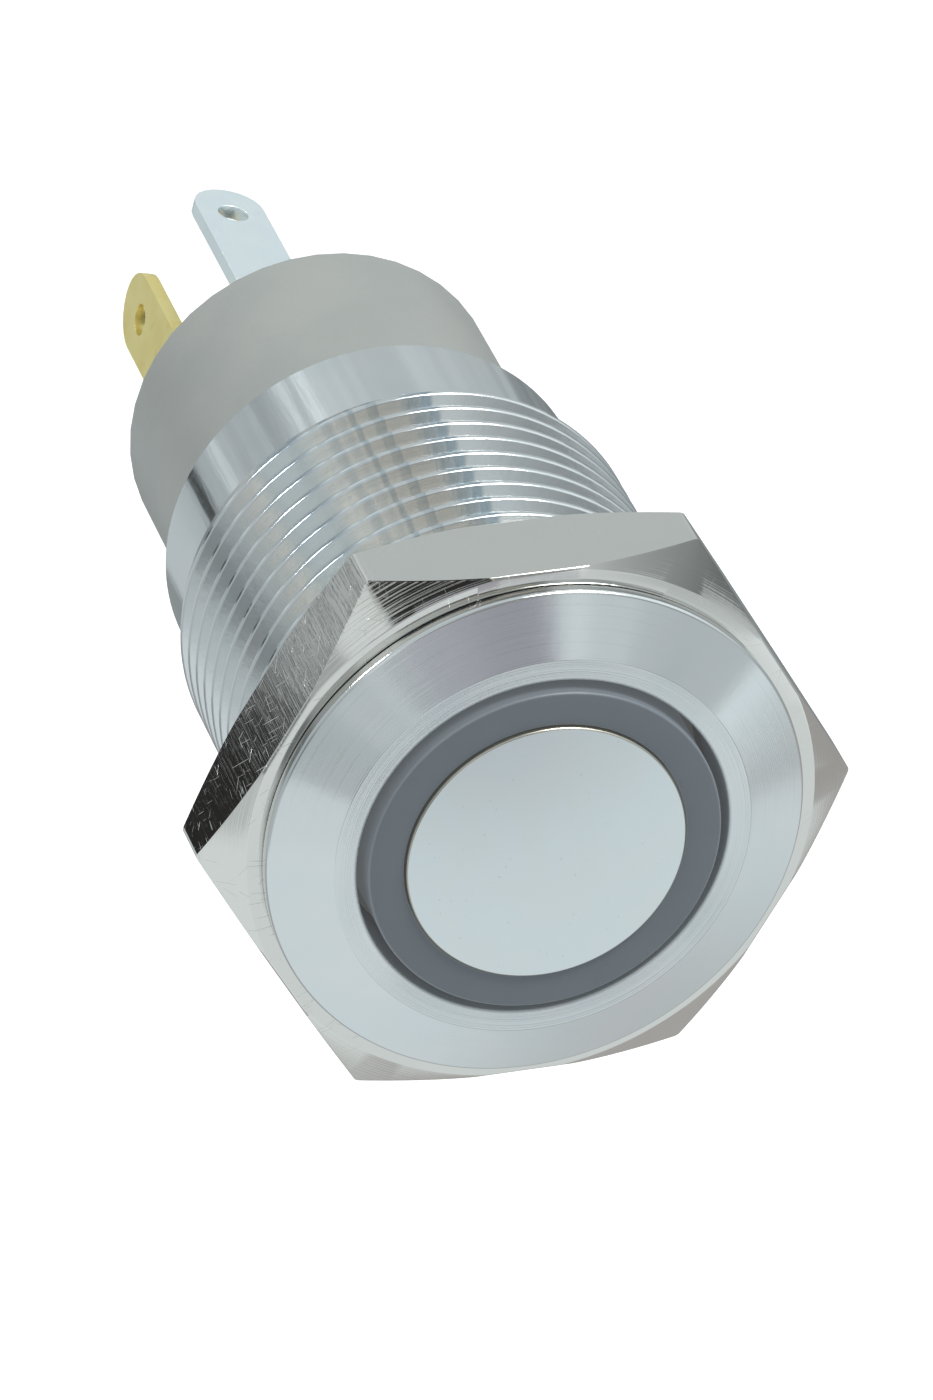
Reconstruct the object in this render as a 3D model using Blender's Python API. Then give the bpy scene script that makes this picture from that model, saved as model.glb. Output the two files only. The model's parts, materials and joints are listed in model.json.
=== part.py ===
# Anti vandal push button, 16 mm, momentary, with an illuminated ring.
# The frame is the panel's: the origin is on the button's axis, in the plane where the head seats on
# the panel. +Y runs into the panel, towards the terminals, and the front faces -Y. +Z is up.
# Every piece is modelled along its own +Z, called its station, which the axis empty turns to +Y.

import math

import bmesh
import bpy

MM = 0.001

# Roundness of the turned pieces. The body's is a multiple of six, for the nut's corners.
BODY_SEGMENTS = 42
INNER_SEGMENTS = 36
WIRE_STEPS_PER_TURN = 12
MERGE_DISTANCE = 1e-7

# Button: metal cap, light guide and plunger. The cap sets the size of all that lies around it.
CAP_DIAMETER = 9.34 * MM
CAP_THICKNESS = 0.9 * MM
CAP_PROUD = 0.37 * MM
CAP_BEVEL = 0.05 * MM
SPIGOT_DIAMETER = 2.4 * MM
SPIGOT_LENGTH = 3.3 * MM
GUIDE_RING_WIDTH = 1.22 * MM
GUIDE_PROUD = 0.24 * MM
GUIDE_FLOOR = 1.0 * MM
GUIDE_WALL = 1.2 * MM
GUIDE_EDGE = 0.1 * MM
GUIDE_FLANGE_WIDTH = 0.5 * MM
GUIDE_FLANGE_THICKNESS = 0.7 * MM
BUTTON_SEAL_SECTION = 0.72 * MM
BUTTON_SEAL_STATION = 1.9 * MM
BUTTON_TRAVEL = 2.4 * MM
PLUNGER_FLANGE_THICKNESS = 1.0 * MM
PLUNGER_COLLAR_HEIGHT = 0.6 * MM
STEM_DIAMETER = 4.6 * MM
STEM_KEY_WIDTH = 0.9 * MM
STEM_KEY_HEIGHT = 0.45 * MM
POST_DIAMETER = 2.4 * MM
POST_LENGTH = 3.2 * MM

# Body: head, M16 x 1 thread and plain rear end, all turned in one piece
HEAD_OVERHANG = 1.0 * MM
HEAD_THICKNESS = 1.25 * MM
LAND_WIDTH = 0.75 * MM
RIM_HEIGHT = 0.41 * MM
EDGE_BREAK = 0.06 * MM
BORE_SHOULDER_STATION = 5.4 * MM
THREAD_RELIEF = 0.7 * MM
THREAD_START_STATION = 0.6 * MM
THREAD_END_STATION = 15.35 * MM
THREAD_PITCH = 1.0 * MM
THREAD_DEPTH = 0.58 * MM
THREAD_CREST = 0.13 * MM
THREAD_FLANK_ANGLE = math.radians(30)
NECK_DEPTH = 0.6 * MM
TAIL_WALL = 0.75 * MM
TAIL_END_STATION = 18.85 * MM
TAIL_CHAMFER = 0.2 * MM

# Flat seal ring in the groove under the head, squeezed level with it
PANEL_SEAL_THICKNESS = 0.39 * MM
SEAL_GROOVE_RIM = 0.25 * MM

# Nut
NUT_WALL = 1.5 * MM
NUT_THICKNESS = 3.35 * MM
NUT_CHAMFER_ANGLE = math.radians(30)
NUT_COUNTERSINK = 0.35 * MM

# Return spring
SPRING_WIRE = 0.45 * MM
SPRING_TURNS = 6.5
SPRING_DEAD_TURNS = 1.0
SPRING_STEM_GAP = 0.75 * MM

# Lamp ring: board, four lamps and their resistor
BOARD_THICKNESS = 0.8 * MM
LAMP_LENGTH = 1.6 * MM
LAMP_WIDTH = 0.9 * MM
LAMP_HEIGHT = 0.5 * MM
LAMP_COUNT = 4
LAMP_BEVEL = 0.08 * MM
LAMP_CLEARANCE = 0.25 * MM
RESISTOR_HEIGHT = 0.45 * MM

# Base housing with its terminal plate
BASE_END_STATION = 27.0 * MM
BASE_WALL = 1.55 * MM
BASE_DECK = 1.7 * MM
BASE_EDGE = 0.25 * MM
PLATE_THICKNESS = 1.95 * MM
PLATE_SEAT_WALL = 0.5 * MM
PLATE_RECESS = 0.3 * MM

# Terminals, as blades with a narrower rail inside the housing
TERMINAL_THICKNESS = 0.5 * MM
CONTACT_TAB_WIDTH = 2.5 * MM
LAMP_TAB_WIDTH = 2.8 * MM
TAB_LENGTH = 7.2 * MM
TAB_HOLE_DIAMETER = 1.1 * MM
TAB_HOLE_SETBACK = 0.5 * MM
RAIL_WIDTH = 1.6 * MM
LAMP_PIN_WIDTH = 0.7 * MM
PATTERN_TURN = math.radians(13)
COMMON_ACROSS = -2.5 * MM
COMMON_INSET = 0.205 * MM
SWITCHED_ACROSS = 1.9 * MM
SWITCHED_INSET = 0.44 * MM
LAMP_TAB_UP = 0.4 * MM
LAMP_SLOT_WEB = 0.5 * MM

# Sliding contact
CONTACT_STANDOFF = 1.05 * MM
CONTACT_HUB_DIAMETER = 5.8 * MM
CONTACT_HUB_THICKNESS = 0.25 * MM
FINGER_SHEET = 0.2 * MM
FINGER_WIDTH = 1.1 * MM
FINGER_LIP = 1.3 * MM
PAD_HEIGHT = 0.25 * MM
PAD_LENGTH = 1.5 * MM
RETAINER_DIAMETER = 5.4 * MM
RETAINER_LENGTH = 2.2 * MM

# Clearances
SEAT_GAP = 0.05 * MM
SLIDE_GAP = 0.1 * MM
SEAL_GAP = 0.03 * MM
CONTACT_GAP = 0.05 * MM
GUIDE_BORE_GAP = 0.31 * MM
GUIDE_FLANGE_GAP = 0.16 * MM
BASE_FIT_GAP = 0.06 * MM
BOARD_EDGE_GAP = 0.3 * MM

# Diameters that follow from the cap outwards
GUIDE_DIAMETER = CAP_DIAMETER + 2 * GUIDE_RING_WIDTH
FRONT_BORE_DIAMETER = GUIDE_DIAMETER + 2 * GUIDE_BORE_GAP
LAND_DIAMETER = FRONT_BORE_DIAMETER + 2 * LAND_WIDTH
REAR_BORE_DIAMETER = GUIDE_DIAMETER + 2 * (GUIDE_FLANGE_WIDTH + GUIDE_FLANGE_GAP)
BASE_DIAMETER = REAR_BORE_DIAMETER - 2 * BASE_FIT_GAP
TAIL_DIAMETER = REAR_BORE_DIAMETER + 2 * TAIL_WALL
THREAD_DIAMETER = TAIL_DIAMETER + 2 * THREAD_RELIEF
NECK_DIAMETER = THREAD_DIAMETER - 2 * NECK_DEPTH
HEAD_DIAMETER = THREAD_DIAMETER + 2 * HEAD_OVERHANG
NUT_ACROSS_FLATS = THREAD_DIAMETER + 2 * NUT_WALL

# Places that follow from the sizes above
FRONT_STATION = -HEAD_THICKNESS
CAP_FACE_STATION = FRONT_STATION - CAP_PROUD
CAP_BACK_STATION = CAP_FACE_STATION + CAP_THICKNESS
GUIDE_FACE_STATION = FRONT_STATION - GUIDE_PROUD
GUIDE_SEAT_STATION = CAP_BACK_STATION + SEAT_GAP
GUIDE_FLOOR_STATION = GUIDE_SEAT_STATION + GUIDE_FLOOR
GUIDE_FLANGE_STATION = BORE_SHOULDER_STATION + SLIDE_GAP
GUIDE_END_STATION = GUIDE_FLANGE_STATION + GUIDE_FLANGE_THICKNESS
GUIDE_INNER_RADIUS = GUIDE_DIAMETER / 2 - GUIDE_WALL
PLUNGER_TOP_STATION = GUIDE_FLOOR_STATION + SEAT_GAP
PLUNGER_FLANGE_STATION = PLUNGER_TOP_STATION + PLUNGER_FLANGE_THICKNESS
LAMP_FRONT_STATION = GUIDE_END_STATION + BUTTON_TRAVEL + LAMP_CLEARANCE
BOARD_STATION = LAMP_FRONT_STATION + LAMP_HEIGHT + SEAT_GAP
BASE_FRONT_STATION = BOARD_STATION + BOARD_THICKNESS + SEAT_GAP
CAVITY_STATION = BASE_FRONT_STATION + BASE_DECK
PLATE_END_STATION = BASE_END_STATION - PLATE_RECESS
PLATE_STATION = PLATE_END_STATION - PLATE_THICKNESS
TAB_STATION = BASE_END_STATION + SEAT_GAP
TAB_END_STATION = BASE_END_STATION + TAB_LENGTH
SPRING_RADIUS = STEM_DIAMETER / 2 + SPRING_STEM_GAP + SPRING_WIRE / 2
SPRING_SEAT_RADIUS = SPRING_RADIUS + SPRING_WIRE
BOARD_INNER_RADIUS = SPRING_SEAT_RADIUS + SLIDE_GAP
LAMP_TAB_ACROSS = BOARD_INNER_RADIUS + LAMP_SLOT_WEB + SLIDE_GAP + TERMINAL_THICKNESS / 2
CAVITY_RADIUS = BASE_DIAMETER / 2 - BASE_WALL
PLATE_SEAT_RADIUS = BASE_DIAMETER / 2 - PLATE_SEAT_WALL
BUTTON_SEAL_GROOVE_RADIUS = FRONT_BORE_DIAMETER / 2 - BUTTON_SEAL_SECTION - 3 * SEAL_GAP
STEM_END_STATION = CAVITY_STATION + CONTACT_STANDOFF
CONTACT_STATION = STEM_END_STATION + SEAT_GAP
RETAINER_STATION = CONTACT_STATION + CONTACT_HUB_THICKNESS + SEAT_GAP
REST_PAD_STATION = CONTACT_STATION + CONTACT_HUB_THICKNESS
PRESSED_PAD_STATION = REST_PAD_STATION + BUTTON_TRAVEL
RAIL_FRONT_STATION = CAVITY_STATION + SLIDE_GAP
SEAL_GROOVE_DEPTH = PANEL_SEAL_THICKNESS + SEAL_GAP
NUT_STATION = SEAT_GAP


def rail_distance(across, inset):
    # How far up or down a contact rail's middle plane lies when its outer corner keeps an inset from
    # the terminal plate's seat.
    corner = PLATE_SEAT_RADIUS - inset
    return math.sqrt(corner**2 - (abs(across) + RAIL_WIDTH / 2) ** 2) - TERMINAL_THICKNESS / 2


COMMON_UP = rail_distance(COMMON_ACROSS, COMMON_INSET)
SWITCHED_DOWN = rail_distance(SWITCHED_ACROSS, SWITCHED_INSET)

# Colour, roughness and metallic value of each finish
FINISHES = {
    "satin nickel": ((0.72, 0.72, 0.70), 0.28, 1.0),
    "bright nickel": ((0.74, 0.72, 0.68), 0.22, 1.0),
    "satin cap": ((0.62, 0.67, 0.69), 0.35, 1.0),
    "smoky plastic": ((0.16, 0.19, 0.22), 0.35, 0.0),
    "white plastic": ((0.80, 0.80, 0.77), 0.45, 0.0),
    "black plastic": ((0.03, 0.03, 0.03), 0.50, 0.0),
    "grey plastic": ((0.38, 0.40, 0.39), 0.55, 0.0),
    "dark grey resin": ((0.20, 0.21, 0.21), 0.60, 0.0),
    "black rubber": ((0.02, 0.02, 0.02), 0.75, 0.0),
    "spring steel": ((0.60, 0.60, 0.60), 0.25, 1.0),
    "green board": ((0.03, 0.22, 0.10), 0.40, 0.0),
    "lamp body": ((0.85, 0.83, 0.60), 0.30, 0.0),
    "resistor body": ((0.02, 0.02, 0.03), 0.35, 0.0),
    "silver plate": ((0.70, 0.75, 0.76), 0.35, 1.0),
    "gold plate": ((0.83, 0.68, 0.33), 0.30, 1.0),
    "phosphor bronze": ((0.72, 0.45, 0.25), 0.35, 1.0),
}


def remove_everything():
    for obj in list(bpy.data.objects):
        bpy.data.objects.remove(obj, do_unlink=True)


def add_empty(name, parent=None, rotation=(0.0, 0.0, 0.0)):
    empty = bpy.data.objects.new(name, None)
    empty.empty_display_size = HEAD_DIAMETER
    empty.rotation_euler = rotation
    empty.parent = parent
    bpy.context.scene.collection.objects.link(empty)
    return empty


def make_material(name, finish):
    colour, roughness, metallic = FINISHES[finish]
    material = bpy.data.materials.new(name)
    material.use_nodes = True
    shader = material.node_tree.nodes["Principled BSDF"]
    shader.inputs["Base Color"].default_value = (*colour, 1.0)
    shader.inputs["Roughness"].default_value = roughness
    shader.inputs["Metallic"].default_value = metallic
    material.diffuse_color = (*colour, 1.0)
    return material


def add_object(name, shape, parent, location=(0.0, 0.0, 0.0), turn=0.0):
    # Makes an object of a bmesh. Its turn is about its own +Z, the button's axis.
    mesh = bpy.data.meshes.new(name)
    bmesh.ops.recalc_face_normals(shape, faces=shape.faces)
    shape.to_mesh(mesh)
    shape.free()
    obj = bpy.data.objects.new(name, mesh)
    obj.location = location
    obj.rotation_euler = (0.0, 0.0, turn)
    obj.parent = parent
    bpy.context.scene.collection.objects.link(obj)
    return obj


def add_piece(name, shape, finish, parent, location=(0.0, 0.0, 0.0), turn=0.0):
    piece = add_object(name, shape, parent, location, turn)
    piece.data.materials.append(make_material(name, finish))
    piece.data.shade_smooth()
    piece.data.set_sharp_from_angle(angle=math.radians(30))
    return piece


def combine(piece, shape, operation, name, location=(0.0, 0.0, 0.0), turn=0.0):
    # Cuts a shape from a piece, joins it to it or keeps what the two share. The helper stays hidden.
    helper = add_object(name, shape, piece.parent, location, turn)
    helper.hide_render = True
    helper.display_type = "WIRE"
    modifier = piece.modifiers.new(name, "BOOLEAN")
    modifier.operation = operation
    modifier.solver = "EXACT"
    modifier.object = helper


def turned(profile, segments=INNER_SEGMENTS):
    # Spins a closed profile of (radius, station) points once around the axis.
    shape = bmesh.new()
    corners = [shape.verts.new((radius, 0.0, station)) for radius, station in profile]
    edges = [shape.edges.new(pair) for pair in zip(corners, corners[1:] + corners[:1])]
    bmesh.ops.spin(
        shape,
        geom=corners + edges,
        cent=(0.0, 0.0, 0.0),
        axis=(0.0, 0.0, 1.0),
        angle=math.tau,
        steps=segments,
        use_merge=True,
    )
    bmesh.ops.remove_doubles(shape, verts=shape.verts, dist=MERGE_DISTANCE)
    bmesh.ops.dissolve_degenerate(shape, edges=shape.edges, dist=MERGE_DISTANCE)
    return shape


def extruded(outline, direction):
    # Extrudes a closed outline of 3D points along one direction.
    shape = bmesh.new()
    face = shape.faces.new([shape.verts.new(point) for point in outline])
    grown = bmesh.ops.extrude_face_region(shape, geom=[face])["geom"]
    moved = [item for item in grown if isinstance(item, bmesh.types.BMVert)]
    bmesh.ops.translate(shape, vec=direction, verts=moved)
    return shape


def box(across, depth, stations):
    # A box from its (low, high) limits across, in depth and along the station.
    corners = [(across[0], depth[0]), (across[1], depth[0]), (across[1], depth[1]), (across[0], depth[1])]
    outline = [(x, y, stations[0]) for x, y in corners]
    return extruded(outline, (0.0, 0.0, stations[1] - stations[0]))


def arc(centre, radius, start, end, steps):
    # Points on an arc, as (radius or width, station) pairs.
    turns = [start + (end - start) * step / steps for step in range(steps + 1)]
    return [(centre[0] + radius * math.cos(a), centre[1] + radius * math.sin(a)) for a in turns]


def seal_ring(ring_radius, section, station, sides=6):
    centre = (ring_radius, station)
    return turned(arc(centre, section / 2, 0.0, math.tau, sides)[:-1], BODY_SEGMENTS)


def thread_outline(turn):
    # The thread's outline, from head to tail, where its right-handed helix has turned by a share of
    # one turn. The first groove starts half a pitch early. What lies past either end is drawn in onto
    # that end's point, and the lead-in and the rear chamfer cut the crests off at 45 degrees.
    crest = THREAD_DIAMETER / 2
    root = crest - THREAD_DEPTH
    half_top = (THREAD_PITCH - THREAD_CREST) / 2
    half_root = half_top - THREAD_DEPTH * math.tan(THREAD_FLANK_ANGLE)
    section = [(crest, -half_top), (root, -half_root), (root, half_root), (crest, half_top)]
    start, end = THREAD_START_STATION, THREAD_END_STATION
    grooves = math.ceil((end - start + half_top) / THREAD_PITCH + 0.5)
    outline = []
    for groove in range(grooves):
        centre = start + (groove + turn - 0.5) * THREAD_PITCH
        for radius, offset in section:
            station = min(max(centre + offset, start), end)
            lead_in = NECK_DIAMETER / 2 + station - start
            chamfer = TAIL_DIAMETER / 2 + end - station
            outline.append((min(radius, lead_in, chamfer), station))
    return outline


def threaded(front, rear):
    # A turned solid with the thread between its front and rear points. Going once around, each groove
    # comes out where the next one starts, and the doubled points are merged.
    shape = bmesh.new()
    rings = []
    for step in range(BODY_SEGMENTS + 1):
        turn = step / BODY_SEGMENTS
        x, y = math.cos(math.tau * turn), math.sin(math.tau * turn)
        outline = front + thread_outline(turn) + rear
        rings.append([shape.verts.new((radius * x, radius * y, station)) for radius, station in outline])
    for ring, following in zip(rings, rings[1:]):
        for index in range(len(ring)):
            shape.faces.new((ring[index - 1], ring[index], following[index], following[index - 1]))
    bmesh.ops.remove_doubles(shape, verts=shape.verts, dist=MERGE_DISTANCE)
    bmesh.ops.dissolve_degenerate(shape, edges=shape.edges, dist=MERGE_DISTANCE)
    return shape


def build_body(parent):
    head = HEAD_DIAMETER / 2
    neck = NECK_DIAMETER / 2
    tail = TAIL_DIAMETER / 2
    front_bore = FRONT_BORE_DIAMETER / 2
    rear_bore = REAR_BORE_DIAMETER / 2
    groove = head - SEAL_GROOVE_RIM
    front = [
        (front_bore, FRONT_STATION + EDGE_BREAK),
        (front_bore + EDGE_BREAK, FRONT_STATION),
        (LAND_DIAMETER / 2, FRONT_STATION),
        (head - EDGE_BREAK, -RIM_HEIGHT - EDGE_BREAK / 2),
        (head, -RIM_HEIGHT + EDGE_BREAK / 2),
        (head, -EDGE_BREAK),
        (head - EDGE_BREAK, 0.0),
        (groove, 0.0),
        (groove, -SEAL_GROOVE_DEPTH),
        (neck, -SEAL_GROOVE_DEPTH),
        (neck, THREAD_START_STATION),
    ]
    rear = [
        (tail, THREAD_END_STATION),
        (tail, TAIL_END_STATION - TAIL_CHAMFER),
        (tail - TAIL_CHAMFER, TAIL_END_STATION),
        (rear_bore, TAIL_END_STATION),
        (rear_bore, BORE_SHOULDER_STATION),
        (front_bore, BORE_SHOULDER_STATION),
    ]
    add_piece("bezel_barrel", threaded(front, rear), "satin nickel", parent)

    seal_inner = neck + SLIDE_GAP
    seal_outer = groove - SEAL_GAP
    seal = [
        (seal_inner, -PANEL_SEAL_THICKNESS),
        (seal_outer, -PANEL_SEAL_THICKNESS),
        (seal_outer, 0.0),
        (seal_inner, 0.0),
    ]
    add_piece("panel_seal", turned(seal, BODY_SEGMENTS), "black rubber", parent)


def build_nut(parent):
    corner = NUT_ACROSS_FLATS / 2 / math.cos(math.radians(30))
    face = NUT_ACROSS_FLATS / 2
    chamfer = (corner - face) * math.tan(NUT_CHAMFER_ANGLE)
    bore = THREAD_DIAMETER / 2 + SEAT_GAP
    low, high = NUT_STATION, NUT_STATION + NUT_THICKNESS
    corners = [math.radians(60 * index) for index in range(6)]
    hexagon = [(corner * math.cos(angle), corner * math.sin(angle), low) for angle in corners]
    nut = add_piece("hex_nut", extruded(hexagon, (0.0, 0.0, NUT_THICKNESS)), "bright nickel", parent)
    blank = [
        (bore, low + NUT_COUNTERSINK),
        (bore + NUT_COUNTERSINK, low),
        (face, low),
        (corner, low + chamfer),
        (corner + SLIDE_GAP, low + chamfer),
        (corner + SLIDE_GAP, high - chamfer),
        (corner, high - chamfer),
        (face, high),
        (bore + NUT_COUNTERSINK, high),
        (bore, high - NUT_COUNTERSINK),
    ]
    combine(nut, turned(blank, BODY_SEGMENTS), "INTERSECT", "nut_blank")


def build_button(parent):
    cap = CAP_DIAMETER / 2
    spigot = SPIGOT_DIAMETER / 2
    spigot_end = CAP_BACK_STATION + SPIGOT_LENGTH
    cap_profile = [
        (0.0, CAP_FACE_STATION),
        (cap - CAP_BEVEL, CAP_FACE_STATION),
        (cap, CAP_FACE_STATION + CAP_BEVEL),
        (cap, CAP_BACK_STATION),
        (spigot, CAP_BACK_STATION),
        (spigot, spigot_end - CAP_BEVEL),
        (spigot - CAP_BEVEL, spigot_end),
        (0.0, spigot_end),
    ]
    add_piece("button_cap", turned(cap_profile, BODY_SEGMENTS), "satin cap", parent)

    guide = GUIDE_DIAMETER / 2
    recess = cap + SEAT_GAP
    flange = guide + GUIDE_FLANGE_WIDTH
    hole = spigot + SEAT_GAP
    groove_half = BUTTON_SEAL_SECTION / 2 + SLIDE_GAP
    guide_profile = [
        (hole, GUIDE_SEAT_STATION),
        (recess, GUIDE_SEAT_STATION),
        (recess, GUIDE_FACE_STATION),
        (guide - GUIDE_EDGE, GUIDE_FACE_STATION),
        (guide, GUIDE_FACE_STATION + GUIDE_EDGE),
        (guide, BUTTON_SEAL_STATION - groove_half),
        (BUTTON_SEAL_GROOVE_RADIUS, BUTTON_SEAL_STATION - groove_half),
        (BUTTON_SEAL_GROOVE_RADIUS, BUTTON_SEAL_STATION + groove_half),
        (guide, BUTTON_SEAL_STATION + groove_half),
        (guide, GUIDE_FLANGE_STATION),
        (flange, GUIDE_FLANGE_STATION),
        (flange, GUIDE_END_STATION),
        (GUIDE_INNER_RADIUS, GUIDE_END_STATION),
        (GUIDE_INNER_RADIUS, GUIDE_FLOOR_STATION),
        (hole, GUIDE_FLOOR_STATION),
    ]
    add_piece("light_guide", turned(guide_profile, BODY_SEGMENTS), "smoky plastic", parent)
    seal_radius = BUTTON_SEAL_GROOVE_RADIUS + SEAL_GAP + BUTTON_SEAL_SECTION / 2
    seal = seal_ring(seal_radius, BUTTON_SEAL_SECTION, BUTTON_SEAL_STATION)
    add_piece("button_seal", seal, "black rubber", parent)


def build_plunger(parent):
    flange = GUIDE_INNER_RADIUS - SLIDE_GAP
    socket = SPIGOT_DIAMETER / 2 + SEAT_GAP
    socket_end = CAP_BACK_STATION + SPIGOT_LENGTH + SLIDE_GAP
    stem = STEM_DIAMETER / 2
    post = POST_DIAMETER / 2
    collar = SPRING_RADIUS - SPRING_WIRE / 2 - SLIDE_GAP
    collar_end = PLUNGER_FLANGE_STATION + PLUNGER_COLLAR_HEIGHT
    profile = [
        (socket, PLUNGER_TOP_STATION),
        (flange, PLUNGER_TOP_STATION),
        (flange, PLUNGER_FLANGE_STATION),
        (collar, PLUNGER_FLANGE_STATION),
        (collar, collar_end),
        (stem, collar_end),
        (stem, STEM_END_STATION),
        (post, STEM_END_STATION),
        (post, STEM_END_STATION + POST_LENGTH),
        (0.0, STEM_END_STATION + POST_LENGTH),
        (0.0, socket_end),
        (socket, socket_end),
    ]
    plunger = add_piece("plunger", turned(profile), "white plastic", parent)
    half_key = STEM_KEY_WIDTH / 2
    key_across = (stem - STEM_KEY_HEIGHT, stem + STEM_KEY_HEIGHT)
    key = box(key_across, (-half_key, half_key), (collar_end - SLIDE_GAP, STEM_END_STATION - SLIDE_GAP))
    combine(plunger, key, "UNION", "stem_key")

    retainer = [
        (post + SEAT_GAP, RETAINER_STATION),
        (RETAINER_DIAMETER / 2, RETAINER_STATION),
        (RETAINER_DIAMETER / 2, RETAINER_STATION + RETAINER_LENGTH),
        (post + SEAT_GAP, RETAINER_STATION + RETAINER_LENGTH),
    ]
    add_piece("contact_retainer", turned(retainer), "black plastic", parent)


def build_sliding_contact(parent):
    # A stamped hub on the plunger's post, with a finger to each of the three contact rails.
    hub_end = CONTACT_STATION + CONTACT_HUB_THICKNESS
    hub = [
        (POST_DIAMETER / 2 + SEAT_GAP, CONTACT_STATION),
        (CONTACT_HUB_DIAMETER / 2, CONTACT_STATION),
        (CONTACT_HUB_DIAMETER / 2, hub_end),
        (POST_DIAMETER / 2 + SEAT_GAP, hub_end),
    ]
    contact = add_piece("sliding_contact", turned(hub), "phosphor bronze", parent)
    root = POST_DIAMETER / 2 + SLIDE_GAP
    sheet_start = CONTACT_STATION + (CONTACT_HUB_THICKNESS - FINGER_SHEET) / 2
    sheet_end = sheet_start + FINGER_SHEET
    lip_end = CONTACT_STATION + FINGER_LIP
    fingers = {
        "common_finger": (COMMON_ACROSS, COMMON_UP),
        "closed_finger": (-SWITCHED_ACROSS, -SWITCHED_DOWN),
        "open_finger": (SWITCHED_ACROSS, -SWITCHED_DOWN),
    }
    for name, (across, up) in fingers.items():
        side = math.copysign(1.0, up)
        reach = abs(up) - TERMINAL_THICKNESS / 2 - PAD_HEIGHT - CONTACT_GAP
        bend = [
            (root, sheet_start),
            (reach, sheet_start),
            (reach, lip_end),
            (reach - FINGER_SHEET, lip_end),
            (reach - FINGER_SHEET, sheet_end),
            (root, sheet_end),
        ]
        start = across - FINGER_WIDTH / 2
        outline = [(start, -side * out, station) for out, station in bend]
        combine(contact, extruded(outline, (FINGER_WIDTH, 0.0, 0.0)), "UNION", name)


def build_spring(parent):
    low = PLUNGER_FLANGE_STATION + SEAT_GAP + SPRING_WIRE / 2
    high = BOARD_STATION - SEAT_GAP - SPRING_WIRE / 2
    dead_pitch = SPRING_WIRE + SLIDE_GAP
    dead_height = dead_pitch * SPRING_DEAD_TURNS
    live_turns = SPRING_TURNS - 2 * SPRING_DEAD_TURNS
    live_pitch = (high - low - 2 * dead_height) / live_turns

    def station(turn):
        if turn < SPRING_DEAD_TURNS:
            return low + dead_pitch * turn
        if turn > SPRING_TURNS - SPRING_DEAD_TURNS:
            return high - dead_pitch * (SPRING_TURNS - turn)
        return low + dead_height + live_pitch * (turn - SPRING_DEAD_TURNS)

    curve = bpy.data.curves.new("return_spring", "CURVE")
    curve.dimensions = "3D"
    curve.bevel_depth = SPRING_WIRE / 2
    curve.bevel_resolution = 2
    curve.use_fill_caps = True
    steps = round(SPRING_TURNS * WIRE_STEPS_PER_TURN)
    wire = curve.splines.new("POLY")
    wire.points.add(steps)
    for index, point in enumerate(wire.points):
        turn = index / WIRE_STEPS_PER_TURN
        angle = math.tau * turn
        x = SPRING_RADIUS * math.cos(angle)
        y = SPRING_RADIUS * math.sin(angle)
        point.co = (x, y, station(turn), 1.0)
    curve.materials.append(make_material("return_spring", "spring steel"))
    spring = bpy.data.objects.new("return_spring", curve)
    spring.parent = parent
    bpy.context.scene.collection.objects.link(spring)


def lamp_pin_slot(side, gap, stations):
    # The slot for one lamp terminal's pin, through the board or the housing's deck.
    across = side * LAMP_TAB_ACROSS
    half_thickness = TERMINAL_THICKNESS / 2 + gap
    half_width = LAMP_PIN_WIDTH / 2 + gap
    depth = (-LAMP_TAB_UP - half_width, -LAMP_TAB_UP + half_width)
    return box((across - half_thickness, across + half_thickness), depth, stations)


def build_lamp_board(parent):
    inner = BOARD_INNER_RADIUS
    outer = REAR_BORE_DIAMETER / 2 - BOARD_EDGE_GAP
    end = BOARD_STATION + BOARD_THICKNESS
    profile = [(inner, BOARD_STATION), (outer, BOARD_STATION), (outer, end), (inner, end)]
    board = add_piece("lamp_board", turned(profile), "green board", parent)
    through = (BOARD_STATION - SLIDE_GAP, end + SLIDE_GAP)
    combine(board, lamp_pin_slot(-1, SLIDE_GAP, through), "DIFFERENCE", "board_slot_left")
    combine(board, lamp_pin_slot(1, SLIDE_GAP, through), "DIFFERENCE", "board_slot_right")

    ring = GUIDE_DIAMETER / 2 - GUIDE_WALL / 2
    chip_end = BOARD_STATION - SEAT_GAP
    chips = [(f"lamp_{index + 1}", index, LAMP_HEIGHT, "lamp body") for index in range(LAMP_COUNT)]
    chips.append(("lamp_resistor", LAMP_COUNT - 0.5, RESISTOR_HEIGHT, "resistor body"))
    for name, place, height, finish in chips:
        angle = math.tau * (place + 0.5) / LAMP_COUNT
        half_width, half_length = LAMP_WIDTH / 2, LAMP_LENGTH / 2
        shape = box((-half_width, half_width), (-half_length, half_length), (chip_end - height, chip_end))
        location = (ring * math.cos(angle), ring * math.sin(angle), 0.0)
        chip = add_piece(name, shape, finish, parent, location, angle)
        bevel = chip.modifiers.new("rounded edges", "BEVEL")
        bevel.width = LAMP_BEVEL
        bevel.segments = 1


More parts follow.
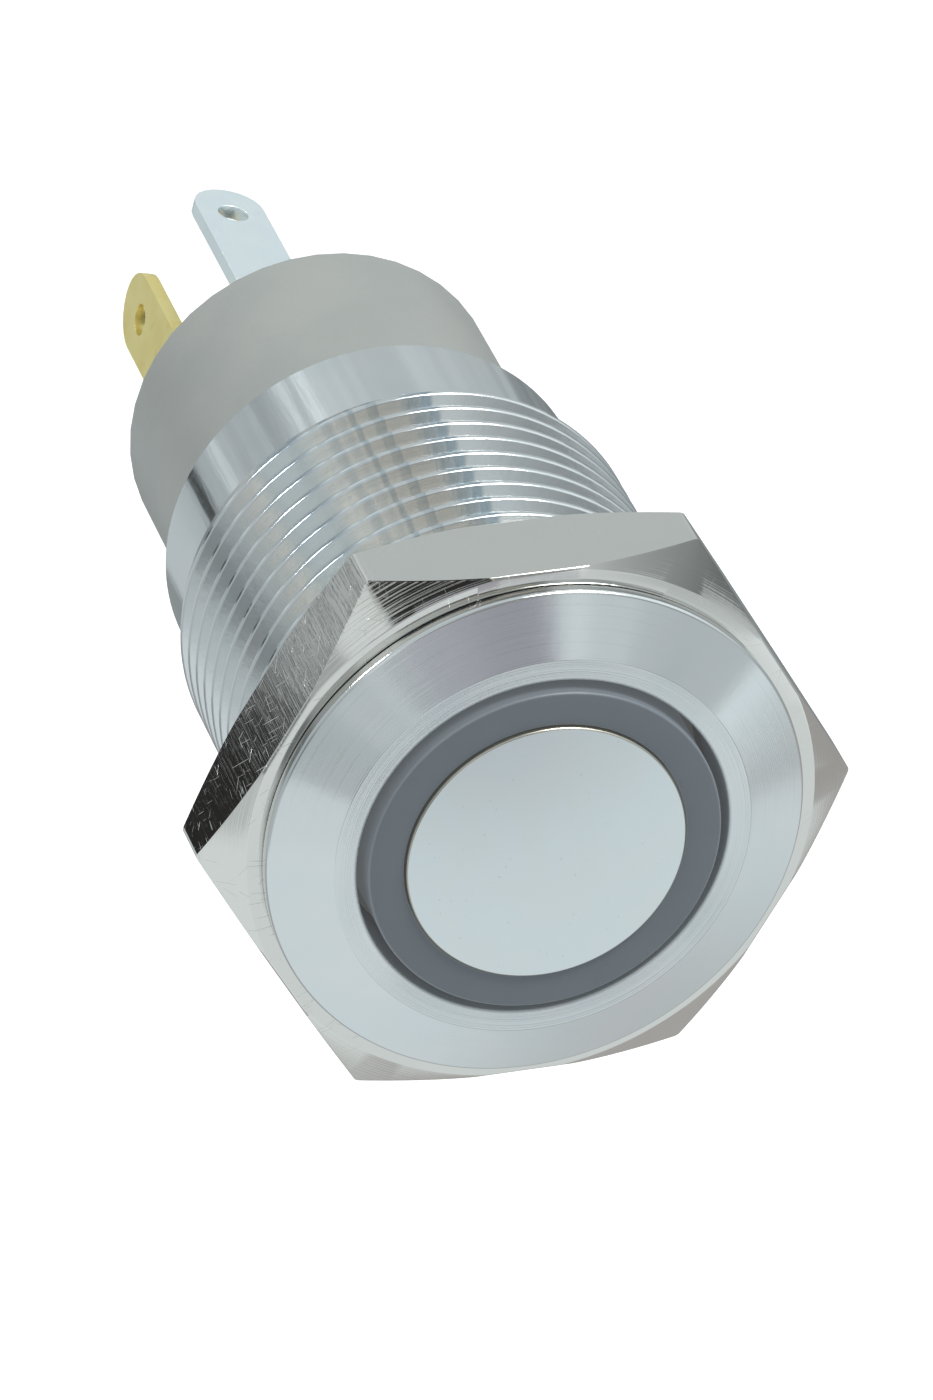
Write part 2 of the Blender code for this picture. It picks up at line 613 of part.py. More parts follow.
def build_base(parent):
    outer = BASE_DIAMETER / 2
    stem_bore = STEM_DIAMETER / 2 + SLIDE_GAP
    boss = SPRING_SEAT_RADIUS
    profile = [
        (stem_bore, BOARD_STATION),
        (boss, BOARD_STATION),
        (boss, BASE_FRONT_STATION),
        (outer - BASE_EDGE, BASE_FRONT_STATION),
        (outer, BASE_FRONT_STATION + BASE_EDGE),
        (outer, BASE_END_STATION - BASE_EDGE),
        (outer - BASE_EDGE, BASE_END_STATION),
        (PLATE_SEAT_RADIUS, BASE_END_STATION),
        (PLATE_SEAT_RADIUS, PLATE_STATION - SEAT_GAP),
        (CAVITY_RADIUS, PLATE_STATION - SEAT_GAP),
        (CAVITY_RADIUS, CAVITY_STATION),
        (stem_bore, CAVITY_STATION),
    ]
    base = add_piece("base_housing", turned(profile, BODY_SEGMENTS), "grey plastic", parent)

    # Grooves in the cavity's wall hold the rails.
    half_rail = RAIL_WIDTH / 2 + SEAT_GAP
    back = TERMINAL_THICKNESS / 2 + SEAT_GAP
    front = TERMINAL_THICKNESS / 2 + PAD_HEIGHT + 3 * FINGER_SHEET
    stations = (CAVITY_STATION, PLATE_STATION)
    grooves = {
        "common_groove": (COMMON_ACROSS, COMMON_UP),
        "closed_groove": (-SWITCHED_ACROSS, -SWITCHED_DOWN),
        "open_groove": (SWITCHED_ACROSS, -SWITCHED_DOWN),
    }
    for name, (across, up) in grooves.items():
        side = math.copysign(1.0, up)
        depth = sorted((-up - side * back, -up + side * front))
        groove = box((across - half_rail, across + half_rail), depth, stations)
        combine(base, groove, "DIFFERENCE", name)
    for side, word in ((-1, "left"), (1, "right")):
        across = sorted((side * (LAMP_TAB_ACROSS + back), side * (LAMP_TAB_ACROSS - front)))
        depth = (-LAMP_TAB_UP - half_rail, -LAMP_TAB_UP + half_rail)
        groove = box(across, depth, stations)
        combine(base, groove, "DIFFERENCE", f"lamp_groove_{word}")
        slot = lamp_pin_slot(side, SLIDE_GAP, (BOARD_STATION - SLIDE_GAP, CAVITY_STATION + SLIDE_GAP))
        combine(base, slot, "DIFFERENCE", f"deck_slot_{word}")

    # A keyway in the stem's bore keeps the contact's fingers on their rails.
    half_key = STEM_KEY_WIDTH / 2 + SLIDE_GAP
    key_depth = STEM_DIAMETER / 2 + STEM_KEY_HEIGHT + SLIDE_GAP
    keyway = box((STEM_DIAMETER / 4, key_depth), (-half_key, half_key),
                 (BOARD_STATION - SLIDE_GAP, CAVITY_STATION + SLIDE_GAP))
    combine(base, keyway, "DIFFERENCE", "stem_keyway")

    plate_radius = PLATE_SEAT_RADIUS - SEAT_GAP
    disc = [
        (0.0, PLATE_STATION),
        (plate_radius, PLATE_STATION),
        (plate_radius, PLATE_END_STATION),
        (0.0, PLATE_END_STATION),
    ]
    plate = add_piece("terminal_plate", turned(disc, BODY_SEGMENTS), "dark grey resin", parent)
    for name, (across, up, quarter_turns, _) in terminal_places().items():
        half_thickness = TERMINAL_THICKNESS / 2 + SEAT_GAP
        slot = box((-half_rail, half_rail), (-half_thickness, half_thickness),
                   (PLATE_STATION - SLIDE_GAP, PLATE_END_STATION + SLIDE_GAP))
        turn = quarter_turns * math.pi / 2
        combine(plate, slot, "DIFFERENCE", name + "_slot", (across, -up, 0.0), turn)


def terminal_places():
    # Each terminal's place across and up, its quarter turns and its tab's width.
    return {
        "terminal_common": (COMMON_ACROSS, COMMON_UP, 0, CONTACT_TAB_WIDTH),
        "terminal_normally_closed": (-SWITCHED_ACROSS, -SWITCHED_DOWN, 2, CONTACT_TAB_WIDTH),
        "terminal_normally_open": (SWITCHED_ACROSS, -SWITCHED_DOWN, 2, CONTACT_TAB_WIDTH),
        "terminal_lamp_plus": (-LAMP_TAB_ACROSS, LAMP_TAB_UP, 1, LAMP_TAB_WIDTH),
        "terminal_lamp_minus": (LAMP_TAB_ACROSS, LAMP_TAB_UP, 3, LAMP_TAB_WIDTH),
    }


def build_terminals(parent):
    pads = {
        "terminal_common": (REST_PAD_STATION, PRESSED_PAD_STATION + PAD_LENGTH),
        "terminal_normally_closed": (REST_PAD_STATION, REST_PAD_STATION + PAD_LENGTH),
        "terminal_normally_open": (PRESSED_PAD_STATION, PRESSED_PAD_STATION + PAD_LENGTH),
    }
    half_rail = RAIL_WIDTH / 2
    half_pin = LAMP_PIN_WIDTH / 2
    half_thickness = TERMINAL_THICKNESS / 2
    for name, (across, up, quarter_turns, width) in terminal_places().items():
        half_tab = width / 2
        tip_centre = TAB_END_STATION - half_tab
        edge = arc((0.0, tip_centre), half_tab, 0.0, math.pi, 12)
        edge += [(-half_tab, TAB_STATION), (-half_rail, TAB_STATION)]
        if name in pads:
            edge += [(-half_rail, RAIL_FRONT_STATION), (half_rail, RAIL_FRONT_STATION)]
        else:
            # A lamp terminal narrows to a pin that ends inside the board.
            edge += [(-half_rail, RAIL_FRONT_STATION), (-half_pin, RAIL_FRONT_STATION)]
            pin_end = BOARD_STATION + SLIDE_GAP
            edge += [(-half_pin, pin_end), (half_pin, pin_end)]
            edge += [(half_pin, RAIL_FRONT_STATION), (half_rail, RAIL_FRONT_STATION)]
        edge += [(half_rail, TAB_STATION), (half_tab, TAB_STATION)]
        outline = [(x, -half_thickness, station) for x, station in edge]
        blade = extruded(outline, (0.0, TERMINAL_THICKNESS, 0.0))
        finish = "silver plate" if name in pads else "gold plate"
        place = (across, -up, 0.0)
        turn = quarter_turns * math.pi / 2
        terminal = add_piece(name, blade, finish, parent, place, turn)

        hole_centre = (0.0, tip_centre - TAB_HOLE_SETBACK)
        rim = arc(hole_centre, TAB_HOLE_DIAMETER / 2, 0.0, math.tau, 20)[:-1]
        hole = extruded([(x, -TERMINAL_THICKNESS, station) for x, station in rim],
                        (0.0, 2 * TERMINAL_THICKNESS, 0.0))
        combine(terminal, hole, "DIFFERENCE", name + "_hole", place, turn)
        if name in pads:
            # The pad faces the axis, which is the blade's own +Y side.
            half_pad = half_rail - SEAT_GAP
            pad = box((-half_pad, half_pad), (0.0, half_thickness + PAD_HEIGHT), pads[name])
            combine(terminal, pad, "UNION", name + "_pad", place, turn)


def main():
    remove_everything()
    axis = add_empty("button_axis", rotation=(math.radians(-90), 0.0, 0.0))
    nut_slide = add_empty("nut_slide", axis)
    button_slide = add_empty("button_slide", axis)
    inside = add_empty("terminal_pattern", axis, rotation=(0.0, 0.0, PATTERN_TURN))
    moving_inside = add_empty("plunger_slide", button_slide, rotation=(0.0, 0.0, PATTERN_TURN))
    build_body(axis)
    build_nut(nut_slide)
    build_button(button_slide)
    build_plunger(moving_inside)
    build_sliding_contact(moving_inside)
    build_spring(inside)
    build_lamp_board(inside)
    build_base(inside)
    build_terminals(inside)


main()
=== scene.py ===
import json
import math

import bpy
from mathutils import Matrix, Vector


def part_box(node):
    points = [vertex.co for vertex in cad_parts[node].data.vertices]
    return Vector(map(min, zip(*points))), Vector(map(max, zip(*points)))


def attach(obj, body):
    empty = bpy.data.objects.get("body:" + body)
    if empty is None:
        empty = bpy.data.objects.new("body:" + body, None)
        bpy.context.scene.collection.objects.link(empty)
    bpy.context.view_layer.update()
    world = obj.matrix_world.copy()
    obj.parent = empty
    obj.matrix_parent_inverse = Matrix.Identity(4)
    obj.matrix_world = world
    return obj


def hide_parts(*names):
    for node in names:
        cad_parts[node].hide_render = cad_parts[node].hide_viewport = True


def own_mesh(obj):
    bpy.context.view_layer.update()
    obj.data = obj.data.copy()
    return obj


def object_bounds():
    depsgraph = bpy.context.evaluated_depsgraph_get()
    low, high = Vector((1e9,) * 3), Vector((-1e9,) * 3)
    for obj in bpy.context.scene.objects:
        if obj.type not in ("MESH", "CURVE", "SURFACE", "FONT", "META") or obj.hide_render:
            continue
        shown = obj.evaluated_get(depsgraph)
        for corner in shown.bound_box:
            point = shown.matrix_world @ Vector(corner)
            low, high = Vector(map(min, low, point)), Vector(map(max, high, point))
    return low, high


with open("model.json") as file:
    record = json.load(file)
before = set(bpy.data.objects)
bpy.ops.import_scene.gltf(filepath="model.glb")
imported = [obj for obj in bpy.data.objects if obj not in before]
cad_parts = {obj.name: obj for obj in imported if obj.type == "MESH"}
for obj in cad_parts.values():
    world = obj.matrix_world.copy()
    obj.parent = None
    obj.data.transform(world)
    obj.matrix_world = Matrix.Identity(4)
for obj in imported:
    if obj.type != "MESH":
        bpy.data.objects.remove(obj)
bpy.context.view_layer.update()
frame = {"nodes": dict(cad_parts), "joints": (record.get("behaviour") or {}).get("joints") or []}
scene = bpy.context.scene
mm = 0.001
print("frame loaded,", len(frame["nodes"]), "nodes")


# Shader maths written as plain sums

class Channel:
    # one socket of a node tree
    def __init__(self, tree, socket):
        self.tree, self.socket = tree, socket

    def calc(self, operation, *terms):
        node = self.tree.nodes.new("ShaderNodeMath")
        node.operation = operation
        plug(self.tree, node.inputs[0], terms[0])
        if len(terms) > 1:
            plug(self.tree, node.inputs[1], terms[1])
        return Channel(self.tree, node.outputs[0])

    def __add__(self, other):
        return self.calc("ADD", self, other)

    def __radd__(self, other):
        return self.calc("ADD", other, self)

    def __sub__(self, other):
        return self.calc("SUBTRACT", self, other)

    def __rsub__(self, other):
        return self.calc("SUBTRACT", other, self)

    def __mul__(self, other):
        return self.calc("MULTIPLY", self, other)

    def __rmul__(self, other):
        return self.calc("MULTIPLY", other, self)

    def __truediv__(self, other):
        return self.calc("DIVIDE", self, other)

    def __pow__(self, other):
        return self.calc("POWER", self, other)

    def sine(self):
        return self.calc("SINE", self)

    def size(self):
        return self.calc("ABSOLUTE", self)

    def larger(self, other):
        return self.calc("MAXIMUM", self, other)

    def angle(self, other):
        # turn in radians of the direction with this part upwards and the other to the right
        return self.calc("ARCTAN2", self, other)


def plug(tree, socket, value):
    if isinstance(value, Channel):
        tree.links.new(value.socket, socket)
    elif isinstance(value, tuple) and len(value) == 3 and socket.type == "RGBA":
        socket.default_value = (*value, 1.0)
    else:
        socket.default_value = value


class NodeTree:
    # adds nodes to a material's or the world's tree
    def __init__(self, tree):
        self.tree = tree

    def node(self, kind, settings=None, values=None, output=0):
        made = self.tree.nodes.new("ShaderNode" + kind)
        for key, value in (settings or {}).items():
            if key == "stops":
                setStops(made.color_ramp, value)
            else:
                setattr(made, key, value)
        for key, value in (values or {}).items():
            plug(self.tree, made.inputs[key], value)
        return Channel(self.tree, made.outputs[output])

    def ramp(self, factor, *stops):
        return self.node("ValToRGB", {"stops": stops}, {"Fac": factor})

    def mix(self, factor, first, second, blend="MIX"):
        values = {0: factor, 6: first, 7: second}
        return self.node("Mix", {"data_type": "RGBA", "blend_type": blend}, values, 2)

    def fade(self, value, low, high, start=0.0, end=1.0):
        # smooth step of a value between two limits
        settings = {"interpolation_type": "SMOOTHSTEP"}
        return self.node("MapRange", settings, {0: value, 1: low, 2: high, 3: start, 4: end})

    def window(self, value, opens, wide, narrows, shuts):
        # 1 between the two middle limits and 0 beyond the outer two
        return self.fade(value, opens, wide) * self.fade(value, narrows, shuts, 1.0, 0.0)


def setStops(ramp, stops):
    while len(ramp.elements) < len(stops):
        ramp.elements.new(1.0)
    for element, (place, colour) in zip(ramp.elements, stops):
        element.position = place
        element.color = (*colour, 1.0) if isinstance(colour, tuple) else (colour, colour, colour, 1.0)


class Finish(NodeTree):
    # a material with one principled shader, whose pattern is laid out in millimetres
    def __init__(self, name, metallic=0.0, **fixed):
        self.material = bpy.data.materials.new(name)
        self.material.use_nodes = True
        super().__init__(self.material.node_tree)
        self.shader = self.tree.nodes["Principled BSDF"]
        self.shader.inputs["Metallic"].default_value = metallic
        for key, value in fixed.items():
            self.shader.inputs[key].default_value = value
        place = self.node("TexCoord", output=3)
        self.place = self.node("VectorMath", {"operation": "SCALE"}, {0: place, "Scale": 1 / mm})
        self.x, self.y, self.z = self.split(self.place)

    def split(self, vector):
        node = self.tree.nodes.new("ShaderNodeSeparateXYZ")
        plug(self.tree, node.inputs[0], vector)
        return [Channel(self.tree, output) for output in node.outputs]

    def radius(self):
        return (self.x * self.x + self.z * self.z) ** 0.5

    def stretched(self, x, y, z):
        return self.node("VectorMath", {"operation": "MULTIPLY"}, {0: self.place, 1: (x, y, z)})

    def noise(self, scale, detail=2.0, vector=None, roughness=0.5):
        values = {"Vector": vector or self.place, "Scale": scale, "Detail": detail, "Roughness": roughness}
        return self.node("TexNoise", None, values)

    def joined(self, x, y, z=0.0):
        return self.node("CombineXYZ", None, {0: x, 1: y, 2: z})

    def lines(self, value, scale, detail=3.0):
        # noise along one value, the same everywhere across it
        values = {"W": value, "Scale": scale, "Detail": detail}
        return self.node("TexNoise", {"noise_dimensions": "1D"}, values)

    def bump(self, height, depth):
        # depth in millimetres for a height from 0 to 1
        return self.node("Bump", None, {"Height": height, "Distance": depth * mm})

    def done(self, **inputs):
        for key, value in inputs.items():
            plug(self.tree, self.shader.inputs[key], value)
        return self.material


# Modelling, as by hand

def selectNothing():
    if bpy.context.object and bpy.context.object.mode != "OBJECT":
        bpy.ops.object.mode_set(mode="OBJECT")
    bpy.ops.object.select_all(action="DESELECT")


def pick(piece):
    # makes a piece the active one and the only one that is selected
    selectNothing()
    piece.select_set(True)
    bpy.context.view_layer.objects.active = piece


def drawOutline(name, points):
    # extrudes one vertex from point to point, and closes the outline unless it ends on the axis
    selectNothing()
    bpy.ops.mesh.primitive_plane_add(size=mm)
    piece = bpy.context.object
    piece.name = name
    places = [Vector((radius * mm, station * mm, 0.0)) for radius, station in points]
    bpy.ops.object.mode_set(mode="EDIT")
    bpy.ops.mesh.select_all(action="SELECT")
    bpy.ops.mesh.merge(type="CENTER")
    bpy.ops.transform.translate(value=places[0])
    for start, end in zip(places, places[1:]):
        bpy.ops.mesh.extrude_vertices_move(TRANSFORM_OT_translate={"value": end - start})
    if points[0][0] > 0.0:
        bpy.ops.object.mode_set(mode="OBJECT")
        for vertex in piece.data.vertices:
            vertex.select = min((vertex.co - places[0]).length, (vertex.co - places[-1]).length) < 1e-7
        bpy.ops.object.mode_set(mode="EDIT")
        bpy.ops.mesh.edge_face_add()
    return piece


def tidyMesh():
    # merges doubles and turns the faces outwards, in edit mode
    bpy.ops.mesh.select_all(action="SELECT")
    bpy.ops.mesh.remove_doubles(threshold=1e-7)
    bpy.ops.mesh.normals_make_consistent(inside=False)
    bpy.ops.object.mode_set(mode="OBJECT")


def turnPiece(name, points, steps=144):
    # a lathe-turned solid about the button's axis, from its outline of (radius, station) in mm
    piece = drawOutline(name, points)
    bpy.ops.mesh.select_all(action="SELECT")
    bpy.ops.mesh.spin(steps=steps, angle=math.tau, center=(0, 0, 0), axis=(0, 1, 0), use_auto_merge=True)
    tidyMesh()
    return piece


def applyModifier(piece, kind, **settings):
    pick(piece)
    modifier = piece.modifiers.new(kind.lower(), kind)
    for key, value in settings.items():
        setattr(modifier, key, value)
    bpy.ops.object.modifier_apply(modifier=modifier.name)


def roundEdges(piece, width, segments=2, angle=25):
    applyModifier(piece, "BEVEL", width=width * mm, segments=segments, limit_method="ANGLE",
                  angle_limit=math.radians(angle), harden_normals=False)


def smooth(piece, angle=35):
    pick(piece)
    bpy.ops.object.shade_smooth_by_angle(angle=math.radians(angle))


def keepFacesTrue(piece):
    # large faces keep their own normals, so that only the rounded edges shade from one to the next
    applyModifier(piece, "WEIGHTED_NORMAL", mode="FACE_AREA", weight=50, keep_sharp=True)


def helixTool(name, points, pitch, turns, start):
    # a closed outline swept along a right-handed helix, as a thread-cutting tool
    tool = drawOutline(name, [(radius, station + start) for radius, station in points])
    bpy.ops.object.mode_set(mode="OBJECT")
    applyModifier(tool, "SCREW", axis="Y", angle=math.tau, screw_offset=pitch * mm, iterations=turns,
                  steps=threadShape["steps"], render_steps=threadShape["steps"], use_merge_vertices=False)
    bpy.ops.object.mode_set(mode="EDIT")
    bpy.ops.mesh.select_all(action="SELECT")
    bpy.ops.mesh.fill_holes(sides=0)
    tidyMesh()
    return tool


def weld(piece, reach=0.001):
    # joins points that lie closer than the reach, in mm, and drops the slivers between them
    pick(piece)
    bpy.ops.object.mode_set(mode="EDIT")
    bpy.ops.mesh.select_all(action="SELECT")
    bpy.ops.mesh.remove_doubles(threshold=reach * mm)
    bpy.ops.mesh.select_all(action="SELECT")
    bpy.ops.mesh.dissolve_degenerate(threshold=reach * mm)
    bpy.ops.object.mode_set(mode="OBJECT")


def cutWith(piece, tool):
    applyModifier(piece, "BOOLEAN", operation="DIFFERENCE", solver="EXACT", object=tool)
    bpy.data.objects.remove(tool, do_unlink=True)
    weld(piece)


def copyNode(node, name, width=0.03, segments=2, angle=25):
    # a CAD node's solid with its edges rounded and its round faces smooth
    piece = bpy.data.objects.new(name, frame["nodes"][node].data.copy())
    scene.collection.objects.link(piece)
    pick(piece)
    bpy.ops.object.mode_set(mode="EDIT")
    bpy.ops.mesh.select_all(action="SELECT")
    bpy.ops.mesh.remove_doubles(threshold=1e-6)
    bpy.ops.mesh.dissolve_limited(angle_limit=math.radians(0.3))
    bpy.ops.object.mode_set(mode="OBJECT")
    if width:
        roundEdges(piece, width, segments, angle)
        weld(piece)
    smooth(piece)
    keepFacesTrue(piece)
    return piece


def fit(piece, body, nodes, material):
    # gives a finished piece its material, its body and the nodes that it stands for
    piece.data.materials.clear()
    piece.data.materials.append(material)
    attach(piece, body)
    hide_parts(*nodes)
    return piece


# Finishes

turnedLook = {
    # stations and radii in mm, turns in degrees around the axis; four limits open and shut a window
    "thread": (0.4, 0.7, 15.1, 15.3), "grooveRadius": (7.93, 7.98), "landStation": (-1.249, -1.241),
    "boreRadius": (6.25, 6.35), "barrelStation": (0.0, 0.4),
    "tints": ((0.71, 0.735, 0.74), (0.74, 0.745, 0.74)), "lineTint": (0.64, 0.66, 0.68),
    # painted reflection along the thread: its tint, the turns where its streaks lie, and their share
    "paintedReflectionTint": (0.14, 0.27, 0.36), "paintedReflectionTurn": (84.0, 90.0, 110.0, 118.0), "paintedReflectionShare": 0.35,
    "paintedDarkLine": (88.0, 0.8, 2.2, 0.5), "paintedDarkBand": (127.0, 4.0, 10.0, 0.35),      # turn, half widths, share
    "depth": 0.0045,
}


def turnedNickel():
    look, s = Finish("turned nickel", metallic=1.0), turnedLook
    ring = look.radius() + look.y * 1.4                       # runs along every turned face
    fine = look.lines(ring, 24.0, 4.0)
    chatter = look.noise(1.0, 3.0, look.stretched(2.6, 0.22, 2.6))            # streaks along the axis
    tint = look.mix(look.fade(look.noise(0.35, 3.0), 0.35, 0.65), *s["tints"])
    shade = look.mix(look.fade(fine, 0.3, 0.75) * 0.12, tint, s["lineTint"])
    threaded = look.window(look.y, *s["thread"])
    groove = look.fade(look.radius(), *s["grooveRadius"], 1.0, 0.0) * threaded
    # painted reflection: cooler, darker streaks, a thin dark line and a dark band run along the thread at fixed
    # turns around the axis, standing in for dark screens mirrored in it
    degrees = look.z.angle(look.x) * (180 / math.pi)
    streak = look.fade(look.lines(degrees, 0.17, 3.0), 0.42, 0.66)
    paintedReflection = streak * look.window(degrees, *s["paintedReflectionTurn"]) * s["paintedReflectionShare"]
    for turn, inner, outer, share in (s["paintedDarkLine"], s["paintedDarkBand"]):
        paintedReflection = paintedReflection.larger(look.fade((degrees - turn).size(), inner, outer, share, 0.0))
    shade = look.mix(paintedReflection * threaded, shade, s["paintedReflectionTint"])
    land = look.fade(look.y, *s["landStation"], 1.0, 0.0) * look.lines(ring, 75.0, 1.0)
    bore = look.fade(look.radius(), *s["boreRadius"], 1.0, 0.0)
    barrel = look.fade(look.y, *s["barrelStation"])
    rough = 0.08 + fine * 0.03 + chatter * (0.02 + barrel * 0.05) + groove * 0.07 + bore * 0.45
    relief = fine * 0.3 + land * 1.7 + chatter * (0.3 + barrel * 1.1)
    return look.done(**{"Base Color": shade, "Roughness": rough, "Normal": look.bump(relief, s["depth"])})


nutWear = {
    "flats": 9.5,                                             # from the axis to a flat, in mm
    # turn in degrees, length in mm, lines per mm and level above which the noise is a scratch
    "scratches": [(84, 1.6, 20.0, 0.70), (52, 1.3, 16.0, 0.72), (-38, 1.6, 18.0, 0.71), (12, 0.8, 13.0, 0.74)],
    "leftEnd": (-6.0, -4.5),                                  # x in mm, the worn side
    "hatchHeight": (6.9, 8.7), "latheSide": (-3.5, -0.5), "latheStation": (0.06, 0.10),
    "tints": ((0.73, 0.715, 0.68), (0.77, 0.75, 0.71)), "scratchTint": (0.86, 0.84, 0.80), "depth": 0.004,
}


def scratchedNickel():
    look, s = Finish("scratched nickel", metallic=1.0), nutWear
    # how far around the nut, in millimetres, and how far along a flat or out on a face
    around = look.x.angle(look.z) * s["flats"]
    ring = look.radius()
    slant = [look.x * 0.866 + look.z * 0.5, look.x * 0.866 - look.z * 0.5]
    across = look.z.size().larger(slant[0].size()).larger(slant[1].size())
    onFlat = look.fade(across, s["flats"] - 0.05, s["flats"] - 0.02)
    out = ring + (look.y - ring) * onFlat
    turned = look.lines(ring + look.y * 0.6, 16.0, 4.0)
    drawn = look.noise(1.0, 4.0, look.joined(around * 17.0, look.y * 0.35), 0.62)
    grain = turned + (drawn - turned) * onFlat
    marks = None
    for turn, length, fineness, level in s["scratches"]:
        cosine, sine = math.cos(math.radians(turn)), math.sin(math.radians(turn))
        along, beside = around * cosine + out * sine, out * cosine - around * sine
        line = look.noise(1.0, 1.0, look.joined(along / length, beside * fineness))
        mark = look.fade(line, level, level + 0.035)
        marks = mark if marks is None else marks.larger(mark)
    leftEnd = look.fade(look.x, *s["leftEnd"], 1.0, 0.0)
    worn = (look.fade(look.noise(0.5, 2.0), 0.45, 0.65) * 0.7).larger(leftEnd)
    upper = look.fade(look.z + drawn * 4.0, *s["hatchHeight"], 0.08, 1.0)
    hatch = look.fade(drawn, 0.48, 0.66) * onFlat * leftEnd * upper
    lathe = look.fade(turned, 0.52, 0.70) * (1 - onFlat) * look.fade(look.y, *s["latheStation"])
    lathe = lathe * look.fade(look.x, *s["latheSide"], 1.0, 0.2)
    marks = (marks * worn * 0.8).larger(lathe * 0.3)
    tint = look.mix(look.noise(0.6, 3.0), *s["tints"])
    shade = look.mix((marks * 0.4).larger(hatch * 0.5), tint, s["scratchTint"])
    rough = 0.03 + grain * 0.03 + (marks * 0.36).larger(hatch * 0.10)
    relief = grain * (0.3 - onFlat * 0.24) + (marks * 0.8).larger(hatch * 0.3)
    return look.done(**{"Base Color": shade, "Roughness": rough, "Normal": look.bump(relief, s["depth"])})


def satinCap():
    look = Finish("satin cap", metallic=1.0)
    grain = look.noise(42.0, 3.0)
    cloud = look.noise(0.5, 3.0)
    specks = look.fade(look.noise(5.5, 1.0), 0.735, 0.76)
    shade = look.mix(look.fade(cloud, 0.3, 0.7), (0.775, 0.80, 0.79), (0.765, 0.81, 0.82))
    shade = look.mix(specks * 0.35, shade, (0.45, 0.47, 0.48))
    # painted reflection: the cap's rim and side are painted a darker warm tone, standing in for a golden line
    # mirrored there and toning down its highlight
    paintedRimReflection = look.fade(look.radius(), 4.605, 4.625)
    shade = look.mix(paintedRimReflection, shade, (0.52, 0.49, 0.42))
    return look.done(**{"Base Color": shade, "Roughness": 0.26 + grain * 0.08,
                        "Normal": look.bump(grain, 0.0015)})


def smokyPlastic():
    look = Finish("smoky plastic", **{"IOR": 1.5, "Emission Strength": 1.0})
    grain = look.noise(30.0, 3.0)
    cloud = look.noise(0.8, 2.0)
    shade = look.mix(cloud, (0.118, 0.142, 0.165), (0.132, 0.157, 0.178))
    shade = look.mix(grain * 0.15, shade, (0.17, 0.19, 0.21))
    # painted light: emission on the ring's outer and inner side walls stands in for light that has passed through
    # the plastic, less of it further in
    ring = look.radius()
    side = look.fade(ring, 5.80, 5.88) + look.fade(ring, 4.72, 4.76, 1.0, 0.0)
    side = side * look.fade(look.y, 2.5, 5.0, 1.0, 0.4)
    paintedGlow = look.mix(side, (0.0, 0.0, 0.0), (0.080, 0.087, 0.092))
    return look.done(**{"Base Color": shade, "Roughness": 0.33 + grain * 0.12, "Emission Color": paintedGlow,
                        "Normal": look.bump(grain, 0.0015)})


def mouldedPlastic(name, dark, pale, rough=0.45, grainScale=11.0, grainDepth=0.006):
    look = Finish(name)
    grain = look.noise(grainScale, 3.0, roughness=0.6)
    cloud = look.noise(0.3, 3.0)
    shade = look.mix(look.fade(cloud, 0.3, 0.7), dark, pale)
    shade = look.mix(look.fade(grain, 0.35, 0.75) * 0.12, shade, tuple(0.8 * c for c in dark))
    return look.done(**{"Base Color": shade, "Roughness": rough + (grain - 0.5) * 0.12,
                        "Normal": look.bump(grain, grainDepth)})


def rubber(name, paintedGlow):
    look = Finish(name, **{"Emission Strength": 1.0})
    grain = look.noise(16.0, 4.0)
    dust = look.fade(look.noise(7.0, 3.0), 0.55, 0.75)
    shade = look.mix(dust * 0.4, (0.022, 0.022, 0.021), (0.10, 0.095, 0.085))
    return look.done(**{"Base Color": shade, "Roughness": 0.6 + grain * 0.25,
                        # painted light: the rubber glows at the given level, though it is no lamp
                        "Emission Color": look.mix(dust, (paintedGlow, paintedGlow, paintedGlow), (0.8 * paintedGlow,) * 3),
                        "Normal": look.bump(grain, 0.006)})


def plated(name, dark, pale, warm):
    look = Finish(name, metallic=1.0)
    drawn = look.noise(1.0, 3.0, look.stretched(14.0, 0.8, 14.0))
    cloud = look.noise(0.55, 4.0)
    tarnish = look.fade(look.noise(1.6, 4.0), 0.56, 0.74)
    shade = look.mix(look.fade(cloud, 0.3, 0.7), dark, pale)
    shade = look.mix(tarnish * 0.2, shade, warm)
    rough = 0.34 + drawn * 0.12 + tarnish * 0.10
    return look.done(**{"Base Color": shade, "Roughness": rough, "Normal": look.bump(drawn, 0.003)})


def drawnSteel():
    look = Finish("spring steel", metallic=1.0)
    drawn = look.noise(1.0, 3.0, look.stretched(5.0, 26.0, 5.0))
    shade = look.mix(drawn, (0.42, 0.42, 0.43), (0.66, 0.66, 0.65))
    return look.done(**{"Base Color": shade, "Roughness": 0.2 + drawn * 0.15,
                        "Normal": look.bump(drawn, 0.002)})


def boardLaminate():
    look = Finish("board laminate", **{"Coat Weight": 0.3, "Coat Roughness": 0.15})
    ring = look.radius()
    track = look.fade((ring - 5.3).size(), 0.55, 0.62)
    weave = (look.x * 22.0).sine() * (look.z * 22.0).sine()
    shade = look.mix(track, (0.045, 0.27, 0.11), (0.02, 0.16, 0.07))
    return look.done(**{"Base Color": shade, "Roughness": 0.35 + weave * 0.05,
                        "Normal": look.bump((1 - track) * 0.7 + weave * 0.1, 0.02)})


chipShape = {"turn": -13.0, "step": 45.0, "end": (0.52, 0.56)}   # degrees, and mm from the middle


def chipFinish(name, middle, ends):
    # a chip's middle and its soldered ends, found by how far a point is from the chip's own centre
    look = Finish(name)
    step = math.radians(chipShape["step"])
    turn = (look.x.angle(look.z) - math.radians(chipShape["turn"])) / step
    across = (turn - turn.calc("ROUND", turn)) * step * look.radius()
    end = look.fade(across.size(), *chipShape["end"])
    grain = look.noise(14.0, 2.0)
    shade = look.mix(end, look.mix(grain, middle, tuple(0.85 * c for c in middle)), ends)
    return look.done(**{"Base Color": shade, "Metallic": end, "Roughness": 0.3 + grain * 0.15,
                        "Normal": look.bump(grain, 0.004)})


